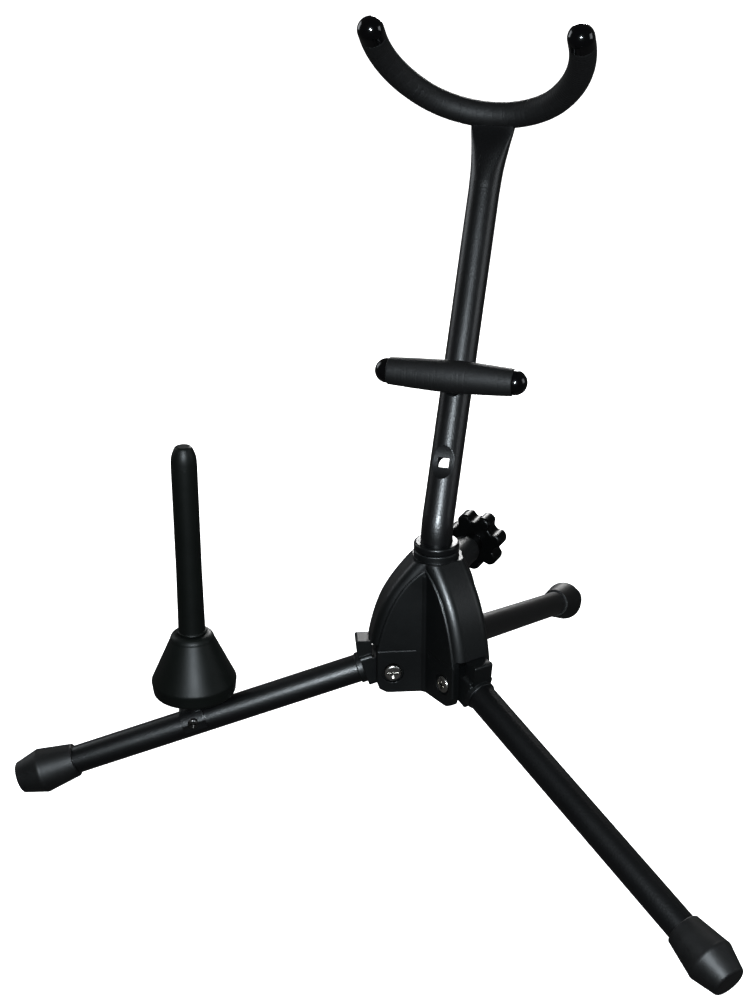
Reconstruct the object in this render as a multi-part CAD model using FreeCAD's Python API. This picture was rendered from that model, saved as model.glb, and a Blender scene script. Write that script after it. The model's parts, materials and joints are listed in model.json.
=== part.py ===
import FreeCAD, Part
import math
import os
from FreeCAD import Placement, Rotation, Vector

# A folding tripod stand for an alto or tenor saxophone, with a peg for a flute or clarinet.
# Millimetres.  +Z up, -Y is the front, where the player stands.  The origin is on the floor
# under the middle of the box that holds the whole stand.

os.makedirs("parts", exist_ok=True)

X = Vector(1, 0, 0)
Y = Vector(0, 1, 0)
Z = Vector(0, 0, 1)
CENTRE = Vector(0, 0, 0)

# ---------------------------------------------------------------- driving dimensions
FIT = 0.05                  # radial running clearance of turning and sliding fits
GAP = 0.3                   # air between pieces that move past each other

# Legs: three alike, 120 degrees apart, all sloping down from one point on the hub's axis.
LEG_MEET_HEIGHT = 102.0     # height of the point where the three leg axes meet
LEG_SLOPE = 18.1            # degrees below horizontal
LEG_AZIMUTHS = {"left": 210, "right": 330, "back": 90}
LEG_RADIUS = 9.5            # 19 mm steel tube
LEG_WALL = 1.2
LEG_START = 50.6            # distances along the leg's axis from the meeting point
LEG_END = 284.0
FOOT_START = 258.0
FOOT_WIDEST = 282.0
FOOT_END = 299.0
FOOT_TOP_RADIUS = 11.4
FOOT_WIDE_RADIUS = 15.2
FOOT_END_RADIUS = 10.6

# Leg pivots, in a leg's own upright plane: distance from the hub's axis, height above LEG_MEET_HEIGHT.
PIVOT_REACH = 29.6
PIVOT_HEIGHT = -13.5
PIVOT_SCREW_RADIUS = 3.0
PIVOT_HEAD_RADIUS = 6.0
PIVOT_HEAD_HEIGHT = 3.4
PIVOT_SEAT = 13.0           # where the heads and nuts bear, sunk in the cheeks
PIVOT_SEAT_RADIUS = 7.2
KNUCKLE_RADIUS = 10.6
FLANGE_START = 42.6
FLANGE_HALF_HEIGHT = 11.0
HOLDER_LIP_END = 54.8
HOLDER_LIP_RADIUS = 10.5
SPIGOT_END = 76.0
LUG_HALF_WIDTH = 7.0

# Hub.  Heights are above LEG_MEET_HEIGHT.
HUB_BOTTOM = -28.0
CORE_RADIUS = 19.0
CORE_TOP = 64.0
COLLAR_RADIUS = 15.0
COLLAR_TOP = 70.0
BORE_RADIUS = 12.5
BORE_FLOOR = -25.0
CHEEK_HALF_WIDTH = 15.6
CHEEK_REACH = 40.6
CHEEK_TOP = 61.6
SLOT_HALF_WIDTH = 10.0
SLOT_START = 18.8
HOOD_BOTTOM = 7.0
HOOD_HALF_WIDTH = 14.6
HOOD_ROUNDING = 7.0
CLAMP_HEIGHT = 48.4
BOSS_RADIUS = 10.0
BOSS_END = 52.0

# Clamp: M8 screw with a hand knob, pressing a pad on the split bush.
CLAMP_SCREW_RADIUS = 4.0
CLAMP_NUT_ACROSS = 13.0
CLAMP_NUT_THICKNESS = 6.5
PAD_LENGTH = 5.6
KNOB_START = 63.0
KNOB_THICKNESS = 14.0
KNOB_RADIUS = 20.8
KNOB_LOBES = 7
KNOB_LOBE_RADIUS = 5.8
KNOB_NECK_RADIUS = 7.4

# Bush that lines the hub's bore and turns with the post.
BUSH_TOP = 75.4
BUSH_SLIT = 2.0

# Post: 21 mm steel tube, upright in the hub, then leaning back.
POST_RADIUS = 10.5
POST_WALL = 1.2
POST_BOTTOM = -24.0
BEND_HEIGHT = 84.0          # where the upright and leaning axes cross
BEND_RADIUS = 30.0
POST_LEAN = 28.7            # degrees from upright
POST_TURN = 8.6             # degrees that the post stands turned from the back leg's plane
FLAT_START = 228.0          # distances up the leaning axis from the crossing
FLAT_END = 266.0
FLAT_HALF_WIDTH = 14.0
FLAT_HALF_THICKNESS = 4.0
SEAT_DEPTH = 2.9            # pressed seats for the rest bar, one in use and one spare
SEAT_TOOL_RADIUS = 22.6
LOWER_SEAT = 43.0
REST_SEAT = 97.8

# Yoke: 10 mm rod bent to a U, in a foam sleeve.
YOKE_PLACE = 280.4          # saddle centre, up the leaning axis
YOKE_TILT = 43.5            # the U opens forward and up at this angle
YOKE_HALF_WIDTH = 67.3
YOKE_DEPTH = 80.7           # saddle to the start of the straight tips
YOKE_BREAK = 50.0           # half of the bottom arc, degrees
TIP_LENGTH = 6.5
ROD_RADIUS = 5.0
SLEEVE_RADIUS = 8.75
CAP_OVER_ROD = 2.5

# Rest bar: straight 10 mm rod in a foam sleeve that is thicker in the middle.
REST_FORWARD = 20.9         # bar axis in front of the post's axis
REST_HALF_LENGTH = 41.9     # to the end of the sleeve
REST_SLEEVE_END_RADIUS = 9.0
REST_SLEEVE_MIDDLE_RADIUS = 10.75
REST_BAND = 0.8
REST_BOLT_RADIUS = 2.5
REST_WASHER_THICKNESS = 1.0
SPACER_RADIUS = 4.6
REST_CAP_RADIUS = 8.2
SPACER_NECK = (3.7, 3.1)    # half width and half height of the square neck in the post's seat
BOLT_ACCESS_RADIUS = 6.6    # hole in the post's back, for the bolt's head and its driver

# Instrument peg on the left leg.  Heights are above LEG_MEET_HEIGHT.
PEG_PLACE = 171.0           # along the leg's axis
STEM_RADIUS = 7.0
STEM_TOP = -31.3
PEG_WASHER_THICKNESS = 1.2
CONE_BOTTOM = -29.5
CONE_WIDEST = -20.0
CONE_TOP = 14.5
CONE_RADIUS = 28.5
CONE_TOP_RADIUS = 14.2
CONE_WALL = 2.6
PEG_ROD_BOTTOM_RADIUS = 9.0
PEG_ROD_TOP_RADIUS = 8.5
PEG_ROD_TAPER_END = 60.0    # the rod tapers up to here and is straight above
PEG_ROD_TOP = 132.5
PEG_ROD_WALL = 2.4
PEG_BEAD = 0.7
PEG_TOP = 146.5
PEG_TIP_RADIUS = 5.6
PEG_STUD_RADIUS = 3.0
SADDLE_OUTER_RADIUS = 12.2
SADDLE_HALF_LENGTH = 8.0
SADDLE_FLAT = 11.4          # half width over the two flats for the bolt
SADDLE_BOLT_RADIUS = 2.0
SADDLE_BOLT_ABOVE_AXIS = 5.0


# ---------------------------------------------------------------- small tools
def rod(radius, start, end):
    """A plain cylinder from one point to another."""
    along = end - start
    return Part.makeCylinder(radius, along.Length, start, along)


def tube(outer, inner, start, end):
    return rod(outer, start, end).cut(rod(inner, start, end))


def block(x, y, z):
    """A box from three (lowest, highest) pairs."""
    return Part.makeBox(x[1] - x[0], y[1] - y[0], z[1] - z[0], Vector(x[0], y[0], z[0]))


def outline(start, *steps):
    """A closed wire in the XZ plane.  A step is a point, or (via, end) for an arc."""
    edges = []
    here = Vector(start[0], 0, start[1])
    first = here
    for step in steps:
        is_arc = isinstance(step[0], tuple)
        point = step[1] if is_arc else step
        there = Vector(point[0], 0, point[1])
        if is_arc:
            via = Vector(step[0][0], 0, step[0][1])
            edges.append(Part.Arc(here, via, there).toShape())
        else:
            edges.append(Part.LineSegment(here, there).toShape())
        here = there
    if here.distanceToPoint(first) > 1e-6:
        edges.append(Part.LineSegment(here, first).toShape())
    return Part.Wire(edges)


def spun(wire):
    """The solid that an outline of (radius, height) points makes about the Z axis."""
    return Part.Face(wire).revolve(CENTRE, Z, 360)


def slab(wire, half_width):
    """An outline in the XZ plane made into a plate, from -half_width to +half_width in Y."""
    face = Part.Face(wire)
    face.translate(Vector(0, -half_width, 0))
    return face.extrude(Vector(0, 2 * half_width, 0))


def hexagon(across_flats, start, along):
    """A hexagonal prism from a point, along a vector."""
    corner = across_flats / math.sqrt(3)
    turn = Rotation(Z, along)
    points = []
    for index in range(7):
        angle = math.radians(60 * index)
        flat = Vector(corner * math.cos(angle), corner * math.sin(angle), 0)
        points.append(start + turn.multVec(flat))
    return Part.Face(Part.makePolygon(points)).extrude(along)


def rounded(shape, radius, chosen):
    """Fillet the edges whose middle point passes the test."""
    edges = []
    for edge in shape.Edges:
        middle = edge.valueAt((edge.FirstParameter + edge.LastParameter) / 2)
        if chosen(middle, edge):
            edges.append(edge)
    return shape.makeFillet(radius, edges)


def placed(shape, *placements):
    """A copy of a shape, moved by each placement in turn."""
    result = shape.copy()
    for placement in placements:
        result.Placement = placement.multiply(result.Placement)
    return result


def turned_about(axis, degrees):
    return Placement(CENTRE, Rotation(axis, degrees))


ALONG_LEG = turned_about(Y, LEG_SLOPE)          # lays the X axis along a leg's axis
UP_FROM_FLOOR = Placement(Vector(0, 0, LEG_MEET_HEIGHT), Rotation())


def on_leg(shape, azimuth):
    """From a leg's upright plane (X outward, Z up) to its place on the hub."""
    return placed(shape, turned_about(Z, azimuth), UP_FROM_FLOOR)


UP_POST = Placement(Vector(0, 0, BEND_HEIGHT), Rotation(X, -POST_LEAN))
UP_YOKE = Placement(Vector(0, 0, YOKE_PLACE), Rotation(X, POST_LEAN + 90 - YOKE_TILT))


def on_post(shape):
    """From upright over the hub to the post's turned place."""
    return placed(shape, turned_about(Z, POST_TURN), UP_FROM_FLOOR)


def pan_screw(shank_radius, head_radius, head_height, length):
    """A cross-recessed pan-head screw along +Z, with the head's underside at the origin."""
    dome = head_height * 0.45
    shoulder = (head_radius * 0.94, -head_height * 0.78)
    head = spun(outline((0, 0), (head_radius, 0), (head_radius, -dome),
                        (shoulder, (head_radius * 0.6, -head_height)), (0, -head_height)))
    shank = rod(shank_radius, CENTRE, Vector(0, 0, length))
    cross_depth = head_height * 0.6
    for angle in (0, 90):
        arm = block((-head_radius * 0.62, head_radius * 0.62), (-head_radius * 0.11, head_radius * 0.11),
                    (-head_height - 0.1, -head_height + cross_depth))
        head = head.cut(placed(arm, turned_about(Z, angle)))
    return head.fuse(shank)


# ---------------------------------------------------------------- legs
def leg_point(distance, height=0.0):
    """A point in a leg's upright plane, from the distance along its axis and above it."""
    return ALONG_LEG.multVec(Vector(distance, 0, height))


def leg_tube(with_peg):
    """Steel leg tube.  The leg with the peg is drilled for the saddle's bolt."""
    shape = tube(LEG_RADIUS, LEG_RADIUS - LEG_WALL, leg_point(LEG_START), leg_point(LEG_END))
    if with_peg:
        hole_place = leg_point(PEG_PLACE, SADDLE_BOLT_ABOVE_AXIS)
        shape = shape.cut(rod(2.0, hole_place - Y * 15, hole_place + Y * 15))
    return shape


def leg_holder():
    """Plastic knuckle on the pivot, with the flange, the stop lug and the spigot in the tube."""
    half_width = SLOT_HALF_WIDTH - 0.4
    pivot = Vector(PIVOT_REACH, 0, PIVOT_HEIGHT)
    knuckle = rod(KNUCKLE_RADIUS, pivot - Y * half_width, pivot + Y * half_width)
    arm = block((32, FLANGE_START + 1), (-half_width, half_width), (-8.5, 8.5))
    flange = block((FLANGE_START, LEG_START), (-half_width, half_width),
                   (-FLANGE_HALF_HEIGHT, FLANGE_HALF_HEIGHT))
    flange = rounded(flange, 2.5, lambda middle, edge: abs(middle.y) > half_width - 0.1
                     and abs(middle.z) > FLANGE_HALF_HEIGHT - 0.1)
    lip = tube(HOLDER_LIP_RADIUS, LEG_RADIUS, Vector(LEG_START, 0, 0), Vector(HOLDER_LIP_END, 0, 0))
    lip = rounded(lip, 0.7, lambda middle, edge: middle.x > HOLDER_LIP_END - 0.1
                  and edge.BoundBox.ZLength > 2 * LEG_RADIUS + 0.5)
    spigot_radius = LEG_RADIUS - LEG_WALL
    spigot = rod(spigot_radius, Vector(FLANGE_START, 0, 0), Vector(SPIGOT_END, 0, 0))
    end_edges = [edge for edge in spigot.Edges if edge.CenterOfMass.x > SPIGOT_END - 0.1]
    spigot = spigot.makeChamfer(1.5, end_edges)
    hollow = rod(spigot_radius - 2.5, Vector(LEG_START + 6, 0, 0), Vector(SPIGOT_END, 0, 0))
    lug = slab(outline((43.2, -8), (43.2, HOOD_BOTTOM - GAP), (52.4, HOOD_BOTTOM - GAP),
                       ((53.5, HOOD_BOTTOM - GAP - 0.5), (54.0, HOOD_BOTTOM - GAP - 1.6)),
                       (52.6, -8)), LUG_HALF_WIDTH)
    along_parts = placed(arm.multiFuse([flange, lip, spigot]).cut(hollow), ALONG_LEG)
    holder = knuckle.multiFuse([along_parts, lug])
    bore = rod(PIVOT_SCREW_RADIUS + 0.1, pivot - Y * 20, pivot + Y * 20)
    return holder.cut(bore).removeSplitter()


def foot():
    """Rubber cap pressed on the leg's end, with a flat worn to the floor."""
    section = outline((0, FOOT_START + 4), (LEG_RADIUS, FOOT_START + 4), (LEG_RADIUS, FOOT_START),
                      (FOOT_TOP_RADIUS - 0.8, FOOT_START),
                      ((FOOT_TOP_RADIUS - 0.2, FOOT_START + 0.3), (FOOT_TOP_RADIUS, FOOT_START + 0.9)),
                      (FOOT_WIDE_RADIUS - 0.25, FOOT_WIDEST - 1.6),
                      ((FOOT_WIDE_RADIUS, FOOT_WIDEST), (FOOT_WIDE_RADIUS - 0.35, FOOT_WIDEST + 1.6)),
                      (FOOT_END_RADIUS + 0.5, FOOT_END - 2.2),
                      ((FOOT_END_RADIUS - 0.3, FOOT_END - 0.6), (FOOT_END_RADIUS - 1.9, FOOT_END)),
                      (0, FOOT_END))
    solid = spun(section)
    socket = rod(LEG_RADIUS, Vector(0, 0, FOOT_START), Vector(0, 0, LEG_END))
    cap = placed(solid.cut(socket), turned_about(Y, 90), ALONG_LEG)
    below_floor = block((100, 400), (-50, 50), (-LEG_MEET_HEIGHT - 50, -LEG_MEET_HEIGHT))
    return cap.cut(below_floor)


def pivot_screw(side):
    """M6 screw through both cheeks, its head on the side that is asked for (+1 or -1)."""
    screw = pan_screw(PIVOT_SCREW_RADIUS, PIVOT_HEAD_RADIUS, PIVOT_HEAD_HEIGHT, 2 * PIVOT_SEAT + 6)
    head_place = Vector(PIVOT_REACH, side * PIVOT_SEAT, PIVOT_HEIGHT)
    return placed(screw, Placement(head_place, Rotation(Z, Y * -side)))


def pivot_nut(side):
    """M6 nut on the cheek across from the head."""
    face = Vector(PIVOT_REACH, -side * PIVOT_SEAT, PIVOT_HEIGHT)
    out = Y * (-side * 5.0)
    nut = hexagon(10.0, face, out)
    return nut.cut(rod(PIVOT_SCREW_RADIUS, face - out, face + out * 2))


# ---------------------------------------------------------------- hub
def curved_outline(points, tail):
    """A wire whose first stretch is a smooth curve and whose other points are corners."""
    curve = Part.BSplineCurve()
    curve.interpolate([Vector(x, 0, z) for x, z in points])
    corners = [Vector(x, 0, z) for x, z in [points[-1]] + tail + [points[0]]]
    edges = [curve.toShape()]
    for start, end in zip(corners, corners[1:]):
        edges.append(Part.LineSegment(start, end).toShape())
    return Part.Wire(edges)


CHEEK_CURVE = [(CHEEK_REACH, 2), (36.8, 19), (31.4, 34), (23.6, 47.6), (9.0, CHEEK_TOP)]
HOOD_CURVE = [(44.4, HOOD_BOTTOM), (40.4, 24), (35.0, 38), (27.0, 51), (15.4, 65.2)]


def fin_body():
    """One arm of the hub: two flat cheeks with a rounded hood between and above them."""
    cheek_tail = [(0, CHEEK_TOP), (0, HUB_BOTTOM), (34.6, HUB_BOTTOM), (38.7, -25.6), (CHEEK_REACH, -20)]
    cheeks = slab(curved_outline(CHEEK_CURVE, cheek_tail), CHEEK_HALF_WIDTH)

    def on_arris(middle, edge):
        outside = middle.x > 9.2 and middle.z > HUB_BOTTOM + 0.2
        return abs(middle.y) > CHEEK_HALF_WIDTH - 0.01 and outside

    cheeks = rounded(cheeks, 1.4, on_arris)
    hood_tail = [(0, HOOD_CURVE[-1][1]), (0, HOOD_BOTTOM)]
    hood = slab(curved_outline(HOOD_CURVE, hood_tail), HOOD_HALF_WIDTH)

    def on_spine(middle, edge):
        is_curve = edge.BoundBox.XLength > 20 and edge.BoundBox.ZLength > 20
        return is_curve and abs(middle.y) > HOOD_HALF_WIDTH - 0.01

    hood = rounded(hood, HOOD_ROUNDING, on_spine)
    return cheeks.fuse(hood)


def fin_space():
    """What is cut from one arm: the slot for the leg, the hollow above it and the pivot holes."""
    slot = block((SLOT_START, 70), (-SLOT_HALF_WIDTH, SLOT_HALF_WIDTH), (HUB_BOTTOM - 2, HOOD_BOTTOM))
    start = HOOD_BOTTOM - 1
    hollow_outline = outline((21, start), (37, start), (34.4, 20), (29.5, 32), (24, 39), (21, 39))
    hollow = slab(hollow_outline, SLOT_HALF_WIDTH)
    pivot = Vector(PIVOT_REACH, 0, PIVOT_HEIGHT)
    holes = rod(PIVOT_SCREW_RADIUS, pivot - Y * 20, pivot + Y * 20)
    space = slot.multiFuse([hollow, holes])
    for side in (-1, 1):
        face = side * CHEEK_HALF_WIDTH
        seat = pivot + Y * (side * PIVOT_SEAT)
        space = space.fuse(rod(PIVOT_SEAT_RADIUS, seat, seat + Y * (side * 10)))
        groove = block((14, 50), (face - 0.35, face + 0.35), (2.6, 3.3))
        space = space.fuse(groove)
    return space


def hub_shell():
    """Moulded hub: core with the bore, three arms and the boss of the clamp."""
    core = spun(outline((0, HUB_BOTTOM), (CORE_RADIUS, HUB_BOTTOM), (CORE_RADIUS, CORE_TOP - 7),
                        (COLLAR_RADIUS + 0.2, CORE_TOP), (0, CORE_TOP)))
    collar = rod(COLLAR_RADIUS, Vector(0, 0, CORE_TOP - 1), Vector(0, 0, COLLAR_TOP))
    collar = rounded(collar, 1.0, lambda middle, edge: middle.z > COLLAR_TOP - 0.1)
    boss = rod(BOSS_RADIUS, Vector(0, 15, CLAMP_HEIGHT), Vector(0, BOSS_END, CLAMP_HEIGHT))
    boss = rounded(boss, 1.5, lambda middle, edge: middle.y > BOSS_END - 0.1)
    shell = core.multiFuse([collar, boss] + [placed(fin_body(), turned_about(Z, azimuth))
                                             for azimuth in LEG_AZIMUTHS.values()])
    bore = rod(BORE_RADIUS + FIT, Vector(0, 0, BORE_FLOOR), Vector(0, 0, COLLAR_TOP + 1))
    drain = rod(6.0, Vector(0, 0, HUB_BOTTOM - 1), Vector(0, 0, BORE_FLOOR + 1))
    boss_axis_end = Vector(0, BOSS_END + 1, CLAMP_HEIGHT)
    screw_hole = rod(CLAMP_SCREW_RADIUS + 0.2, Vector(0, 0, CLAMP_HEIGHT), boss_axis_end)
    nut_pocket = hexagon(CLAMP_NUT_ACROSS, Vector(0, BOSS_END - CLAMP_NUT_THICKNESS, CLAMP_HEIGHT),
                         Y * (CLAMP_NUT_THICKNESS + 1))
    spaces = [bore, drain, screw_hole, nut_pocket]
    spaces += [placed(fin_space(), turned_about(Z, azimuth)) for azimuth in LEG_AZIMUTHS.values()]
    return placed(shell.cut(Part.makeCompound(spaces)).removeSplitter(), UP_FROM_FLOOR)


# ---------------------------------------------------------------- clamp
def clamp_nut():
    start = Vector(0, BOSS_END - CLAMP_NUT_THICKNESS, CLAMP_HEIGHT)
    nut = hexagon(CLAMP_NUT_ACROSS, start, Y * CLAMP_NUT_THICKNESS)
    return placed(nut.cut(rod(CLAMP_SCREW_RADIUS + FIT, start - Y, start + Y * 10)), UP_FROM_FLOOR)


def clamp_pad():
    """Nylon pad between the screw's end and the bush, hollowed to the bush."""
    start = Vector(0, BORE_RADIUS - 2, CLAMP_HEIGHT)
    end = Vector(0, BORE_RADIUS + PAD_LENGTH, CLAMP_HEIGHT)
    hollow = rod(BORE_RADIUS + GAP, Vector(0, 0, CLAMP_HEIGHT - 20), Vector(0, 0, CLAMP_HEIGHT + 20))
    return placed(rod(CLAMP_SCREW_RADIUS + 0.1, start, end).cut(hollow), UP_FROM_FLOOR)


def clamp_screw():
    start = Vector(0, BORE_RADIUS + PAD_LENGTH + GAP, CLAMP_HEIGHT)
    end = Vector(0, KNOB_START + KNOB_THICKNESS - 5, CLAMP_HEIGHT)
    shank = rod(CLAMP_SCREW_RADIUS, start, end)
    shank = shank.makeChamfer(0.8, [edge for edge in shank.Edges if edge.CenterOfMass.y < start.y + 0.1])
    return placed(shank, UP_FROM_FLOOR)


def knob_head():
    """Seven-lobed hand knob with a neck, its lobes joined by hollows."""
    ring = KNOB_RADIUS - KNOB_LOBE_RADIUS
    body = Part.makeCylinder(ring + 1.2, KNOB_THICKNESS)
    lobes = []
    hollows = []
    for index in range(KNOB_LOBES):
        angle = math.radians(90 + index * 360 / KNOB_LOBES)
        toward = Vector(math.cos(angle), math.sin(angle), 0)
        lobe = Part.makeCylinder(KNOB_LOBE_RADIUS, KNOB_THICKNESS, toward * ring)
        lobes.append(rounded(lobe, 2.2, lambda middle, edge: edge.BoundBox.ZLength < 0.01))
        between = angle + math.pi / KNOB_LOBES
        away = Vector(math.cos(between), math.sin(between), 0)
        hollows.append(Part.makeCylinder(4.6, KNOB_THICKNESS + 2, away * (ring + 4.9) - Z))
    body = rounded(body, 2.2, lambda middle, edge: edge.BoundBox.ZLength < 0.01)
    head = body.multiFuse(lobes).cut(Part.makeCompound(hollows))
    neck = rod(KNOB_NECK_RADIUS, Vector(0, 0, -(KNOB_START - BOSS_END - 1)), Vector(0, 0, 2))
    screw_hole = rod(CLAMP_SCREW_RADIUS, Vector(0, 0, -20), Vector(0, 0, KNOB_THICKNESS - 5))
    dish = rod(9.5, Vector(0, 0, KNOB_THICKNESS - 1.2), Vector(0, 0, KNOB_THICKNESS + 1))
    knob = head.fuse(neck).cut(screw_hole).cut(dish).removeSplitter()
    outward = Placement(Vector(0, KNOB_START, CLAMP_HEIGHT), Rotation(X, -90))
    return placed(knob, outward, UP_FROM_FLOOR)


# ---------------------------------------------------------------- bush and post
def clamp_bush():
    """Split sleeve between the hub and the post, with a flange that caps the collar."""
    sleeve = rod(BORE_RADIUS, Vector(0, 0, BORE_FLOOR + GAP), Vector(0, 0, COLLAR_TOP + 1))
    flange = rod(COLLAR_RADIUS, Vector(0, 0, COLLAR_TOP + GAP), Vector(0, 0, BUSH_TOP))
    flange = rounded(flange, 1.6, lambda middle, edge: middle.z > BUSH_TOP - 0.1)
    flange = rounded(flange, 0.6, lambda middle, edge: middle.z < COLLAR_TOP + GAP + 0.1)
    bore = rod(POST_RADIUS + FIT, Vector(0, 0, BORE_FLOOR), Vector(0, 0, BUSH_TOP + 1))
    slit_heights = (BORE_FLOOR - 1, COLLAR_TOP + GAP)
    slit = block((-BUSH_SLIT / 2, BUSH_SLIT / 2), (-COLLAR_RADIUS - 1, 0), slit_heights)
    return on_post(sleeve.fuse(flange).cut(bore).cut(slit).removeSplitter())


def bent_rod(radius, bottom):
    """The post's upright stretch, bend and leaning stretch, as one round solid."""
    tangent = BEND_RADIUS * math.tan(math.radians(POST_LEAN / 2))
    upright = rod(radius, Vector(0, 0, bottom), Vector(0, 0, BEND_HEIGHT - tangent))
    disc = Part.Face(Part.Wire(Part.makeCircle(radius, Vector(0, 0, BEND_HEIGHT - tangent), Z)))
    bend_centre = Vector(0, BEND_RADIUS, BEND_HEIGHT - tangent)
    bend = disc.revolve(bend_centre, X, -POST_LEAN)
    leaning = placed(rod(radius, Vector(0, 0, tangent), Vector(0, 0, FLAT_START)), UP_POST)
    return upright.multiFuse([bend, leaning]).removeSplitter()


def flattening_ring(share, inset):
    """One closed section of the post's end, from round (share 0) to flat (share 1)."""
    half_width = POST_RADIUS + (FLAT_HALF_WIDTH - POST_RADIUS) * share - inset
    half_thickness = POST_RADIUS + (FLAT_HALF_THICKNESS - POST_RADIUS) * share - inset
    power = 2 / (2 + 1.6 * share)
    height = FLAT_START + (FLAT_END - FLAT_START) * math.sqrt(share)
    if share == 0:
        return Part.Wire(Part.makeCircle(half_width, Vector(0, 0, height), Z))
    points = []
    for index in range(32):
        angle = 2 * math.pi * index / 32
        across = math.copysign(abs(math.cos(angle)) ** power, math.cos(angle))
        through = math.copysign(abs(math.sin(angle)) ** power, math.sin(angle))
        points.append(Vector(half_width * across, half_thickness * through, height))
    curve = Part.BSplineCurve()
    curve.interpolate(points, True)
    return Part.Wire(curve.toShape())


def flattened_end(inset):
    """The post's end, pressed from a round tube to a flat one, as a solid."""
    rings = [flattening_ring(share, inset) for share in (0.0, 0.1, 0.35, 0.7, 1.0)]
    rings.append(placed(rings[-1], Placement(Vector(0, 0, YOKE_PLACE - FLAT_END), Rotation())))
    return placed(Part.makeLoft(rings, True), UP_POST)


def pressed_seat(place):
    """A seat pressed in the post's front: the added wall, and the hollow with its two holes."""
    tool_reach = POST_RADIUS - SEAT_DEPTH + SEAT_TOOL_RADIUS
    centre = Vector(0, -tool_reach, place)
    tool = rod(SEAT_TOOL_RADIUS, centre - X * 20, centre + X * 20)
    inside = rod(POST_RADIUS - POST_WALL / 2, Vector(0, 0, place - 16), Vector(0, 0, place + 16))
    wall = rod(SEAT_TOOL_RADIUS + POST_WALL, centre - X * 20, centre + X * 20).common(inside)
    half_width = SPACER_NECK[0] + FIT
    half_height = SPACER_NECK[1] + FIT
    heights = (place - half_height, place + half_height)
    square = block((-half_width, half_width), (-POST_RADIUS - 1, 0), heights)
    round_hole = rod(BOLT_ACCESS_RADIUS, Vector(0, 0, place), Vector(0, POST_RADIUS + 1, place))
    return placed(wall, UP_POST), placed(tool.multiFuse([square, round_hole]), UP_POST)


def post_tube():
    """Bent steel post with two pressed seats and its end flattened on the yoke's rod."""
    round_part = bent_rod(POST_RADIUS, POST_BOTTOM).cut(bent_rod(POST_RADIUS - POST_WALL, POST_BOTTOM - 1))
    flat_part = flattened_end(0).cut(flattened_end(POST_WALL))
    post = round_part.fuse(flat_part)
    for place in (LOWER_SEAT, REST_SEAT):
        wall, hollow = pressed_seat(place)
        post = post.fuse(wall).cut(hollow)
    rod_space = placed(yoke_bar(ROD_RADIUS, TIP_LENGTH), UP_YOKE, UP_POST)
    beyond = placed(block((-40, 40), (-30, 30), (YOKE_PLACE, YOKE_PLACE + 30)), UP_POST)
    return on_post(post.cut(rod_space).cut(beyond).removeSplitter())


def post_plug():
    """Plastic plug in the post's lower end."""
    inner = POST_RADIUS - POST_WALL
    low = POST_BOTTOM - 0.7
    top = POST_BOTTOM + 12
    floor = POST_BOTTOM + 1.5
    section = outline((0, low), (POST_RADIUS - 0.6, low), (POST_RADIUS, POST_BOTTOM - 0.2),
                      (POST_RADIUS, POST_BOTTOM), (inner, POST_BOTTOM), (inner, top), (inner - 2, top),
                      (inner - 2, floor), (0, floor))
    return on_post(spun(section))


# ---------------------------------------------------------------- yoke
def yoke_arcs():
    """Radii of the bottom arc and of the side arcs that give the U its width and depth."""
    s = math.sin(math.radians(YOKE_BREAK))
    c = math.cos(math.radians(YOKE_BREAK))
    # width: bottom * s + side * (1 - s);  depth: bottom * (1 - c) + side * c
    side = (YOKE_DEPTH * s - YOKE_HALF_WIDTH * (1 - c)) / (c * s - (1 - s) * (1 - c))
    bottom = (YOKE_HALF_WIDTH - side * (1 - s)) / s
    return bottom, side


def yoke_bar(radius, tip_length):
    """The U as a round bar in its own XZ plane, with its saddle at the origin."""
    bottom, side = yoke_arcs()
    bottom_centre = Vector(0, 0, bottom)
    section = Part.Face(Part.Wire(Part.makeCircle(radius, CENTRE, X)))
    pieces = []
    for direction in (-1, 1):
        pieces.append(section.revolve(bottom_centre, Y, -direction * YOKE_BREAK))
        turn = Rotation(Y, -direction * YOKE_BREAK)
        joint = bottom_centre + turn.multVec(Vector(0, 0, -bottom))
        side_centre = joint + turn.multVec(Vector(0, 0, side))
        tilted = placed(section, Placement(joint, turn))
        sweep = 90 - YOKE_BREAK
        pieces.append(tilted.revolve(side_centre, Y, -direction * sweep))
        if tip_length > 0:
            foot_of_tip = Vector(direction * YOKE_HALF_WIDTH, 0, YOKE_DEPTH)
            pieces.append(rod(radius, foot_of_tip, foot_of_tip + Z * tip_length))
    return pieces[0].multiFuse(pieces[1:])


def yoke_rod():
    bar = yoke_bar(ROD_RADIUS, TIP_LENGTH + CAP_OVER_ROD)
    return on_post(placed(bar, UP_YOKE, UP_POST))


def yoke_sleeve():
    """Foam sleeve over the whole U but its tips, with a slot where the post passes."""
    foam = yoke_bar(SLEEVE_RADIUS, 0).cut(yoke_bar(ROD_RADIUS, TIP_LENGTH))
    return on_post(placed(foam, UP_YOKE, UP_POST).cut(flattened_end(0)))


def domed_cap(radius, band, rod_depth):
    """A cap with its dome's centre at the origin and a band below, bored for the rod's end."""
    ball = Part.makeSphere(radius, CENTRE, Z, 0, 90, 360)
    skirt = rod(radius, Vector(0, 0, -band), CENTRE)
    return ball.fuse(skirt).cut(rod(ROD_RADIUS, Vector(0, 0, -band - 1), Vector(0, 0, rod_depth)))


def yoke_end_caps():
    caps = []
    for direction in (-1, 1):
        tip = Vector(direction * YOKE_HALF_WIDTH, 0, YOKE_DEPTH + TIP_LENGTH)
        cap = placed(domed_cap(SLEEVE_RADIUS, TIP_LENGTH, CAP_OVER_ROD), Placement(tip, Rotation()))
        caps.append(on_post(placed(cap, UP_YOKE, UP_POST)))
    return Part.makeCompound(caps)


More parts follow.
